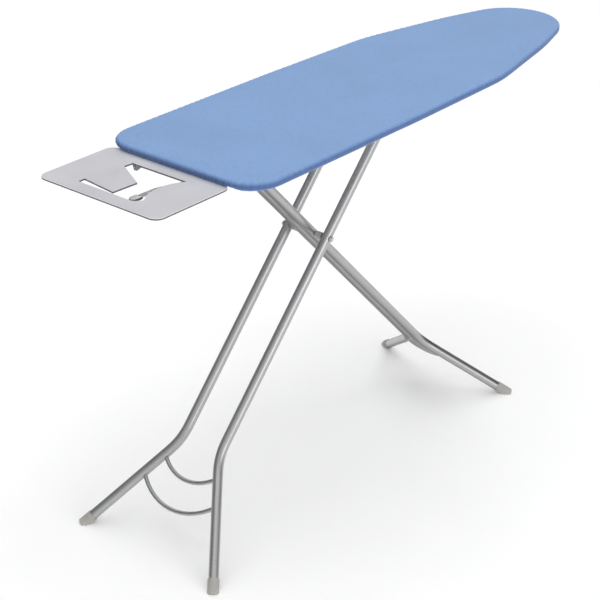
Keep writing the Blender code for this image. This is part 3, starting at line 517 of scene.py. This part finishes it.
def dress(node, slot, material):
    """Show a CAD node with welded, softened edges and its own material."""
    piece = NODES[node]
    mesh = piece.data
    mesh.materials.clear()
    mesh.materials.append(material)
    if "custom_normal" in mesh.attributes:
        mesh.attributes.remove(mesh.attributes["custom_normal"])
    mesh.shade_smooth()
    weld = piece.modifiers.new("weld", "WELD")
    weld.merge_threshold = 1e-6
    flat = piece.modifiers.new("flat", "DECIMATE")
    flat.decimate_type = "DISSOLVE"
    flat.angle_limit = radians(0.4)
    bevel = piece.modifiers.new("edge", "BEVEL")
    bevel.width = EDGE_WIDTHS.get(node, EDGE_WIDTHS.get(slot, 0.0003))
    bevel.segments = 3 if bevel.width > 0.0006 else 2
    bevel.limit_method = "ANGLE"
    bevel.angle_limit = radians(38)
    bevel.harden_normals = False
    normals = piece.modifiers.new("normals", "WEIGHTED_NORMAL")
    normals.keep_sharp = True


# ---------------------------------------------------------------- leg tubes


def slice_span(points, edges, origin, along, across, place):
    """Lowest and highest reach along across where a mesh meets the plane at place."""
    depth = (points - origin) @ along - place
    a, b = edges[:, 0], edges[:, 1]
    met = depth[a] * depth[b] < 0
    a, b = a[met], b[met]
    share = (depth[a] / (depth[a] - depth[b]))[:, None]
    reach = (points[a] + (points[b] - points[a]) * share - origin) @ across
    return reach.min(), reach.max()


def tube_path(node, run):
    """Centreline and radius of a bent leg tube, measured by slicing its CAD node."""
    mesh = NODES[node].data
    points = np.array([v.co for v in mesh.vertices])
    edges = np.array([e.vertices for e in mesh.edges])
    origin = np.array(JOINTS["cross_pivot"]["pos_m"])
    along = np.array(run)
    square = np.array(run.cross(ACROSS))
    depth = (points - origin) @ along
    first, last = depth.min() + SLICE_STEP, depth.max() - 0.020
    places = np.linspace(first, last, int((last - first) / SLICE_STEP))
    spans = [slice_span(points, edges, origin, along, np.array(ACROSS), p) for p in places]
    centre = np.array([(low + high) / 2 for low, high in spans])
    for _ in range(4):
        centre[1:-1] = 0.25 * centre[:-2] + 0.5 * centre[1:-1] + 0.25 * centre[2:]
    low, high = slice_span(points, edges, origin, along, square, places[len(places) // 4])
    path = origin + np.outer(places, along) + np.outer(centre, np.array(ACROSS))
    for end, inner in ((0, 4), (-1, -5)):
        direction = path[end] - path[inner]
        direction /= np.linalg.norm(direction)
        reach = ((points - path[end]) @ direction).max()
        path = np.insert(path, 0 if end == 0 else len(path), path[end] + direction * reach, axis=0)
    return path, (high - low) / 2, square


def thinned(path):
    """Leave out the points of straight stretches."""
    kept = [0]
    for i in range(1, len(path) - 1):
        before = path[i] - path[kept[-1]]
        after = path[i + 1] - path[i]
        bend = np.linalg.norm(np.cross(before, after)) / np.linalg.norm(before) / np.linalg.norm(after)
        if bend > 0.004 or np.linalg.norm(before) > 0.06:
            kept.append(i)
    return path[kept + [len(path) - 1]]


def make_tube(node, body, material):
    """Round hollow tube along the CAD tube's centreline."""
    path, radius, square = tube_path(node, leg_lean(body))
    path = thinned(path)
    tangents = np.gradient(path, axis=0)
    tangents /= np.linalg.norm(tangents, axis=1)[:, None]
    turns = np.arange(TUBE_SIDES) * 2 * pi / TUBE_SIDES
    rings = []
    for reach, order in ((radius, slice(None)), (radius - TUBE_WALL, slice(None, None, -1))):
        for centre, tangent in zip(path[order], tangents[order]):
            side = np.cross(square, tangent)
            rings.append(centre + reach * (np.outer(np.cos(turns), square) + np.outer(np.sin(turns), side)))
    verts = np.vstack(rings)
    faces = bridge(len(rings), TUBE_SIDES, closed_path=True)
    piece = add_mesh(node + "_drawn", verts, faces, material)
    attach(piece, body)
    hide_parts(node)


# ---------------------------------------------------------------- cover, felt and cord


def cover_levels():
    """Outer profile of the cover as (inset, height), from the hem's inner edge to the flat top."""
    low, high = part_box("ironing_cover")
    top, bottom = high.z, low.z
    return [
        (HEM_INSET, bottom + 0.0004),
        (0.0150, bottom + 0.0001),
        (0.0120, bottom),
        (0.0090, bottom),
        (0.0060, bottom),
        (0.0034, bottom + 0.0002),
        (0.0012, bottom + 0.0012),
        (0.0001, bottom + 0.0034),
        (0.0, bottom + 0.0062),
        (0.0003, top - 0.0056),
        (0.0018, top - 0.0028),
        (0.0044, top - 0.0011),
        (0.0076, top - 0.0003),
        (0.0110, top),
        (0.0150, top),
        (0.0200, top),
        (0.0260, top),
        (0.0330, top),
        (0.0410, top),
        (PINNED_INSET, top),
    ]


def lattice(loop, step, margin):
    """Staggered points inside a closed loop, kept clear of it."""
    low, high = loop.min(0), loop.max(0)
    found = []
    rows = int((high[1] - low[1]) / (step * 0.866)) + 1
    for row in range(rows):
        y = low[1] + row * step * 0.866
        for x in np.arange(low[0] + (row % 2) * step / 2, high[0], step):
            found.append((x, y))
    found = np.array(found)
    ends = np.roll(loop, -1, 0)
    inside = np.zeros(len(found), bool)
    for (ax, ay), (bx, by) in zip(loop, ends):
        crosses = (ay > found[:, 1]) != (by > found[:, 1])
        if crosses.any():
            at = ax + (found[:, 1] - ay) / (by - ay if by != ay else 1.0) * (bx - ax)
            inside ^= crosses & (found[:, 0] < at)
    gaps = np.array([np.min(np.hypot(*(loop - p).T)) for p in found[inside]])
    return found[inside][gaps > margin]


def skin(points, normals, levels, step):
    """Vertices and faces of a sheet that follows the levels inwards and closes over the top."""
    size = len(points)
    verts = []
    for inset, height in levels:
        ring = points - normals * inset
        verts.extend((x, y, height) for x, y in ring)
    faces = bridge(len(levels), size)
    rim = points - normals * levels[-1][0]
    fill = lattice(rim, step, step * 0.55)
    flat = [Vector(p) for p in np.vstack([rim, fill])]
    edges = [(i, (i + 1) % size) for i in range(size)]
    placed, _, cells, sources, _, _ = delaunay_2d_cdt(flat, edges, [], 1, 1e-7)
    base = (len(levels) - 1) * size
    numbers = []
    for point, source in zip(placed, sources):
        if source and source[0] < size:
            numbers.append(base + source[0])
        else:
            numbers.append(len(verts))
            verts.append((point.x, point.y, levels[-1][1]))
    faces.extend(tuple(numbers[i] for i in cell) for cell in cells)
    return np.array(verts), faces


def fullness(points, normals):
    """Uneven ripple along the cover's edge, most of it gathered across the wide end."""
    count = len(points)
    puckers = round(count * CLOTH_STEP / PUCKER_PITCH)
    chance = np.random.RandomState(5)
    spacing = chance.uniform(0.55, 1.45, puckers)
    knots = np.append(0.0, np.cumsum(spacing)) * count / spacing.sum()
    phase = np.interp(np.arange(count), knots, np.arange(puckers + 1) * 2 * pi)
    depth = chance.uniform(0.25, 1.15, puckers)
    depth = np.interp(np.arange(count), knots, np.append(depth, depth[0]))
    at_end = np.clip(-normals[:, 0], 0.0, 1.0) ** 2
    return np.sin(phase) * depth * (SIDE_FULLNESS + (END_FULLNESS - SIDE_FULLNESS) * at_end)


def profile_reach(levels):
    """Distance along the cover's profile from the pinned ring out to each level."""
    steps = np.hypot(*np.diff(np.array(levels), axis=0).T)
    return np.append(np.cumsum(steps[::-1])[::-1], 0.0)


def pattern(points, normals, levels, ripple):
    """Flat cutting pattern of the cover's edge, with its fullness waved into it.

    The edge is laid out flat beyond the pinned ring, so round corners get the cloth they gather.
    """
    reach = profile_reach(levels)
    rim = points - normals * levels[-1][0]
    rise = ripple * PUCKER_PITCH / (2 * pi)
    rings = []
    for distance in reach:
        flat = rim + normals * distance * SLACK
        rings.append(np.column_stack([flat, rise * distance / reach[0]]))
    return np.vstack(rings)


def puckered(strip, points, normals, levels, ripple):
    """The wrapped edge with small puckers square to it, from which the solver starts."""
    reach = profile_reach(levels) / profile_reach(levels)[0]
    path = np.array([(-inset, height) for inset, height in levels])
    along = np.gradient(path, axis=0)
    along /= np.hypot(*along.T)[:, None]
    size = len(points)
    started = strip.copy()
    for number, (share, (out, up)) in enumerate(zip(reach, along)):
        window = np.clip((share - 0.15) / 0.35, 0.0, 1.0) * np.clip((0.80 - share) / 0.12, 0.0, 1.0)
        rise = PUCKER_RISE * ripple * window
        ring = slice(number * size, (number + 1) * size)
        started[ring, :2] += normals * (rise * up)[:, None]
        started[ring, 2] -= rise * out
    return started


def gather(started, flat, levels, size):
    """Let the cloth solver settle the puckered edge on its pattern, and return the new points."""
    scene = bpy.context.scene
    piece = add_mesh("cover_edge", started, bridge(len(levels), size), None)
    piece.shape_key_add(name="wrapped", from_mix=False)
    cut_flat = piece.shape_key_add(name="pattern", from_mix=False)
    cut_flat.data.foreach_set("co", flat.ravel())
    pins = piece.vertex_groups.new(name="pins")
    for number, (inset, _) in enumerate(levels):
        held = number in (0, len(levels) - 1)
        upper = number >= FIRST_UPPER_LEVEL
        weight = 1.0 if held else max(0.0, (inset - PIN_START) / PIN_BLEND) * upper
        if weight > 0:
            pins.add(list(range(number * size, (number + 1) * size)), weight, "REPLACE")
    cloth = piece.modifiers.new("cloth", "CLOTH")
    settings = cloth.settings
    settings.quality = 6
    settings.mass = 0.15
    settings.tension_stiffness = settings.compression_stiffness = 80.0
    settings.shear_stiffness = 6.0
    settings.bending_stiffness = 0.004
    settings.tension_damping = settings.compression_damping = 8.0
    settings.air_damping = 4.0
    settings.vertex_group_mass = "pins"
    settings.pin_stiffness = 5.0
    settings.rest_shape_key = cut_flat
    settings.use_pressure = True
    settings.uniform_pressure_force = 0.4
    settings.effector_weights.gravity = 0.0
    cloth.collision_settings.use_collision = False
    cloth.point_cache.frame_start = 1
    cloth.point_cache.frame_end = SIM_FRAMES
    for number in range(1, SIM_FRAMES + 1):
        scene.frame_set(number)
    settled = piece.evaluated_get(bpy.context.evaluated_depsgraph_get()).to_mesh()
    moved = np.array([v.co for v in settled.vertices])
    scene.frame_set(1)
    remove(piece)
    return moved


def settle_cover(verts, points, normals, levels):
    """Add gathers to the cover's edge, clear of the deck and the felt inside.

    Their shape is puckered's; at the wide end the solver moves it very little.
    """
    size = len(points)
    strip = verts[: size * len(levels)]
    ripple = fullness(points, normals)
    started = puckered(strip, points, normals, levels, ripple)
    shift = gather(started, pattern(points, normals, levels, ripple), levels, size) - strip
    length = np.linalg.norm(shift, axis=1)[:, None] + 1e-12
    shift *= SIM_CAP * np.tanh(length / SIM_CAP) / length
    rings = shift.reshape(len(levels), size, 3)
    for _ in range(3):
        even = 0.25 * np.roll(rings, 1, 1) + 0.5 * rings + 0.25 * np.roll(rings, -1, 1)
        rings[-SMOOTHED_LEVELS:] = even[-SMOOTHED_LEVELS:]
    out = np.tile(np.column_stack([normals, np.zeros(size)]), (len(levels), 1))
    outward = (shift * out).sum(1)
    insets = np.repeat([inset for inset, _ in levels], size)
    low = verts[:, 2].min()
    side = np.clip(1.0 - insets / 0.006, 0.0, 1.0)
    inwards = np.minimum(outward + 0.0004, 0.0) * side
    shift -= out * inwards[:, None]
    upper = strip[:, 2] > low + BAND_HEIGHT
    shift[:, 2] = np.maximum(shift[:, 2], np.where(upper, -0.0002, -0.0001))
    under = (~upper) & (insets > 0.001)
    shift[under, 2] = np.minimum(shift[under, 2], 0.0006)
    verts[: size * len(levels)] = strip + shift


def droop(verts, low):
    """Let the band hang a little deeper, except where it lies on the iron rest."""
    rest_low, rest_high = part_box("iron_rest_plate")
    ahead = np.clip((verts[:, 0] - rest_high.x + 0.004) / 0.030, 0.0, 1.0)
    beside = np.maximum(rest_low.y - verts[:, 1], verts[:, 1] - rest_high.y)
    free = np.maximum(ahead, np.clip(beside / 0.030, 0.0, 1.0))
    free = free * free * (3.0 - 2.0 * free)
    depth = np.clip(1.0 - (verts[:, 2] - low) / 0.009, 0.0, 1.0)
    verts[:, 2] -= BAND_DROP * free * depth


def make_cover(materials):
    """Cotton cover: top, rounded edge, side band and the hem turned in under the deck."""
    points, normals = resample(plan_points("ironing_cover"), CLOTH_STEP)
    levels = cover_levels()
    verts, faces = skin(points, normals, levels, LATTICE_STEP)
    settle_cover(verts, points, normals, levels)
    droop(verts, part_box("ironing_cover")[0].z)
    cover = add_mesh("cover_cloth", verts, faces, materials["cover_cotton"], 80)
    thick = cover.modifiers.new("thickness", "SOLIDIFY")
    thick.thickness = CLOTH_THICKNESS
    thick.offset = -1
    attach(cover, "board_top")
    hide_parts("ironing_cover")
    make_stitches(verts[2 * len(points) : 3 * len(points)], materials)
    return points, normals


def make_felt(points, normals, materials):
    """Felt layer between the deck and the cover."""
    low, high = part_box("foam_pad")
    mid = (low.z + high.z) / 2
    levels = [
        (0.0038, low.z),
        (0.0031, mid - 0.0012),
        (0.0034, mid + 0.0004),
        (0.0052, high.z - 0.0007),
        (0.0090, high.z),
    ]
    coarse, out = points[::4], normals[::4]
    verts, faces = skin(coarse, out, levels, LATTICE_STEP * 2)
    verts = [tuple(v) for v in verts]
    faces.append(tuple(reversed(range(len(coarse)))))
    pad = add_mesh("felt_layer", verts, faces, materials["foam"], 60)
    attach(pad, "board_top")
    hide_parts("foam_pad")


def make_cord(points, normals, materials):
    """Two-ply cord that runs in the hem."""
    low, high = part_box("cover_drawcord")
    reach = (high.z - low.z) / 2
    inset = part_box("ironing_cover")[1].y - high.y
    ring = points - normals * (inset + reach)
    size = len(ring)
    ply_radius = reach * 0.55
    arm = reach - ply_radius
    turns = round(size * CLOTH_STEP / CORD_LAY)
    verts, faces = [], []
    for ply in range(2):
        start = len(verts)
        for i, (spot, normal) in enumerate(zip(ring, normals)):
            twist = 2 * pi * turns * i / size + pi * ply
            out = Vector((*normal, 0.0))
            centre = Vector((*spot, low.z + reach)) + (out * cos(twist) + UP * sin(twist)) * arm
            for k in range(CORD_SIDES):
                angle = -2 * pi * k / CORD_SIDES
                verts.append(centre + (out * cos(angle) + UP * sin(angle)) * ply_radius)
        faces += [tuple(start + v for v in face) for face in bridge(size, CORD_SIDES, closed_path=True)]
    cord = add_mesh("twisted_cord", verts, faces, materials["cord"])
    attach(cord, "board_top")
    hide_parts("cover_drawcord")


def make_stitches(hem, materials):
    """Row of lock stitches under the hem, along the points given."""
    closed = np.vstack([hem, hem[:1]])
    along = np.append(0.0, np.cumsum(np.linalg.norm(np.diff(closed, axis=0), axis=1)))
    count = int(along[-1] / STITCH_PITCH)
    sides = STITCH_SIDES
    rings = ((-0.5, 0.35), (-0.32, 1.0), (0.32, 1.0), (0.5, 0.35))
    verts, faces = [], []
    for number in range(count):
        middle = (number + 0.5) * along[-1] / count
        ends = [middle - STITCH_LENGTH / 2, middle + STITCH_LENGTH / 2]
        first, last = (Vector([np.interp(at, along, closed[:, k]) for k in range(3)]) for at in ends)
        run = last - first
        across = run.cross(UP).normalized()
        centre = (first + last) / 2 - UP * STITCH_RADIUS * 0.6
        start = len(verts)
        for place, width in rings:
            for k in range(sides):
                angle = 2 * pi * k / sides
                rim = (across * cos(angle) + UP * sin(angle)) * STITCH_RADIUS * width
                verts.append(centre + run * place + rim)
        faces += [tuple(start + v for v in face) for face in bridge(len(rings), sides)]
        faces.append(tuple(start + k for k in reversed(range(sides))))
        faces.append(tuple(len(verts) - sides + k for k in range(sides)))
    row = add_mesh("hem_stitches", verts, faces, materials["stitch"])
    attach(row, "board_top")


# ---------------------------------------------------------------- stage


def make_floor():
    """Pale floor that glows a little, so its shadows stay soft."""
    s = Shader("studio_floor", Specular_IOR_Level=0.1)
    s.colour(s.ramp(s.noise(3.0, 2.0), (0.3, (0.93, 0.93, 0.93)), (0.7, (0.95, 0.95, 0.95))))
    s.surface.inputs["Roughness"].default_value = 0.9
    s.surface.inputs["Emission Color"].default_value = (1.0, 1.0, 1.0, 1.0)
    s.surface.inputs["Emission Strength"].default_value = 0.06
    half = FLOOR_HALF
    corners = [(-half, -half, 0), (half, -half, 0), (half, half, 0), (-half, half, 0)]
    floor = add_mesh("floor", corners, [(0, 1, 2, 3)], s.material)


def make_surround(scene):
    """White surround, brightest towards SKY_GLOW."""
    world = bpy.data.worlds.new("studio")
    scene.world = world
    world.use_nodes = True
    tree = world.node_tree
    sky = tree.nodes["Background"]
    sky.inputs["Color"].default_value = (1.0, 1.0, 1.0, 1.0)
    direction = tree.nodes.new("ShaderNodeTexCoord").outputs["Generated"]
    towards = tree.nodes.new("ShaderNodeVectorMath")
    towards.operation = "DOT_PRODUCT"
    tree.links.new(direction, towards.inputs[0])
    towards.inputs[1].default_value = SKY_GLOW
    glow = tree.nodes.new("ShaderNodeMapRange")
    glow.interpolation_type = "SMOOTHSTEP"
    for name, number in (("From Min", 0.20), ("From Max", 1.0), ("To Min", 0.20), ("To Max", 0.85)):
        glow.inputs[name].default_value = number
    tree.links.new(towards.outputs["Value"], glow.inputs["Value"])
    tree.links.new(glow.outputs["Result"], sky.inputs["Strength"])


def lamp(scene, name, kind, place, target, power):
    """Light at place, turned towards target."""
    light = bpy.data.lights.new(name, kind)
    light.energy = power
    holder = bpy.data.objects.new(name, light)
    holder.location = place
    holder.rotation_euler = (Vector(target) - Vector(place)).to_track_quat("-Z", "Y").to_euler()
    scene.collection.objects.link(holder)
    return light


def make_lamps(scene):
    """Very soft overhead light and a round softbox on the near side."""
    overhead = lamp(scene, "overhead", "SUN", (0.9, 0.9, 4.0), (0.0, 0.0, 0.0), 1.90)
    overhead.angle = radians(80)
    softbox = lamp(scene, "softbox", "AREA", (-0.58, -3.3, 1.4), (-0.15, 0.0, 0.5), 22.0)
    softbox.shape = "DISK"
    softbox.size = 2.2


def make_camera(scene):
    """Camera at the photo's view."""
    camera = bpy.data.cameras.new("camera")
    camera.lens = CAMERA_LENS
    camera.sensor_width = 36.0
    camera.clip_end = 150.0
    eye = bpy.data.objects.new("camera", camera)
    level = cos(CAMERA_DIP)
    forward = Vector((level * cos(CAMERA_HEADING), level * sin(CAMERA_HEADING), -sin(CAMERA_DIP)))
    right = forward.cross(UP).normalized()
    above = right.cross(forward)
    c, r = cos(CAMERA_ROLL), sin(CAMERA_ROLL)
    axes = Matrix((right * c + above * r, above * c - right * r, -forward)).transposed()
    eye.matrix_world = Matrix.Translation(CAMERA_PLACE) @ axes.to_4x4()
    scene.collection.objects.link(eye)
    scene.camera = eye


def make_stage():
    scene = bpy.context.scene
    make_floor()
    make_surround(scene)
    make_lamps(scene)
    make_camera(scene)
    scene.view_settings.view_transform = "Standard"


def main():
    materials = make_materials()
    slots = {row["node"]: row["material_slot"] for row in frame["record"]["subparts"]}
    bodies = frame["record"]["behaviour"]["bodies"]
    body_of = {node: body for body, members in bodies.items() for node in members}
    made_here = {"ironing_cover", "foam_pad", "cover_drawcord"}
    for node, slot in slots.items():
        body = body_of[node]
        if "_leg_tube_" in node:
            make_tube(node, body, materials[body])
        elif node not in made_here:
            look = body if slot == "tube_paint" else slot
            dress(node, slot, materials.get(node, materials[look]))
    points, normals = make_cover(materials)
    make_felt(points, normals, materials)
    make_cord(points, normals, materials)
    make_stage()


def write_sizes():
    """Bring the view layer up to date."""
    bpy.context.view_layer.update()


main()
write_sizes()
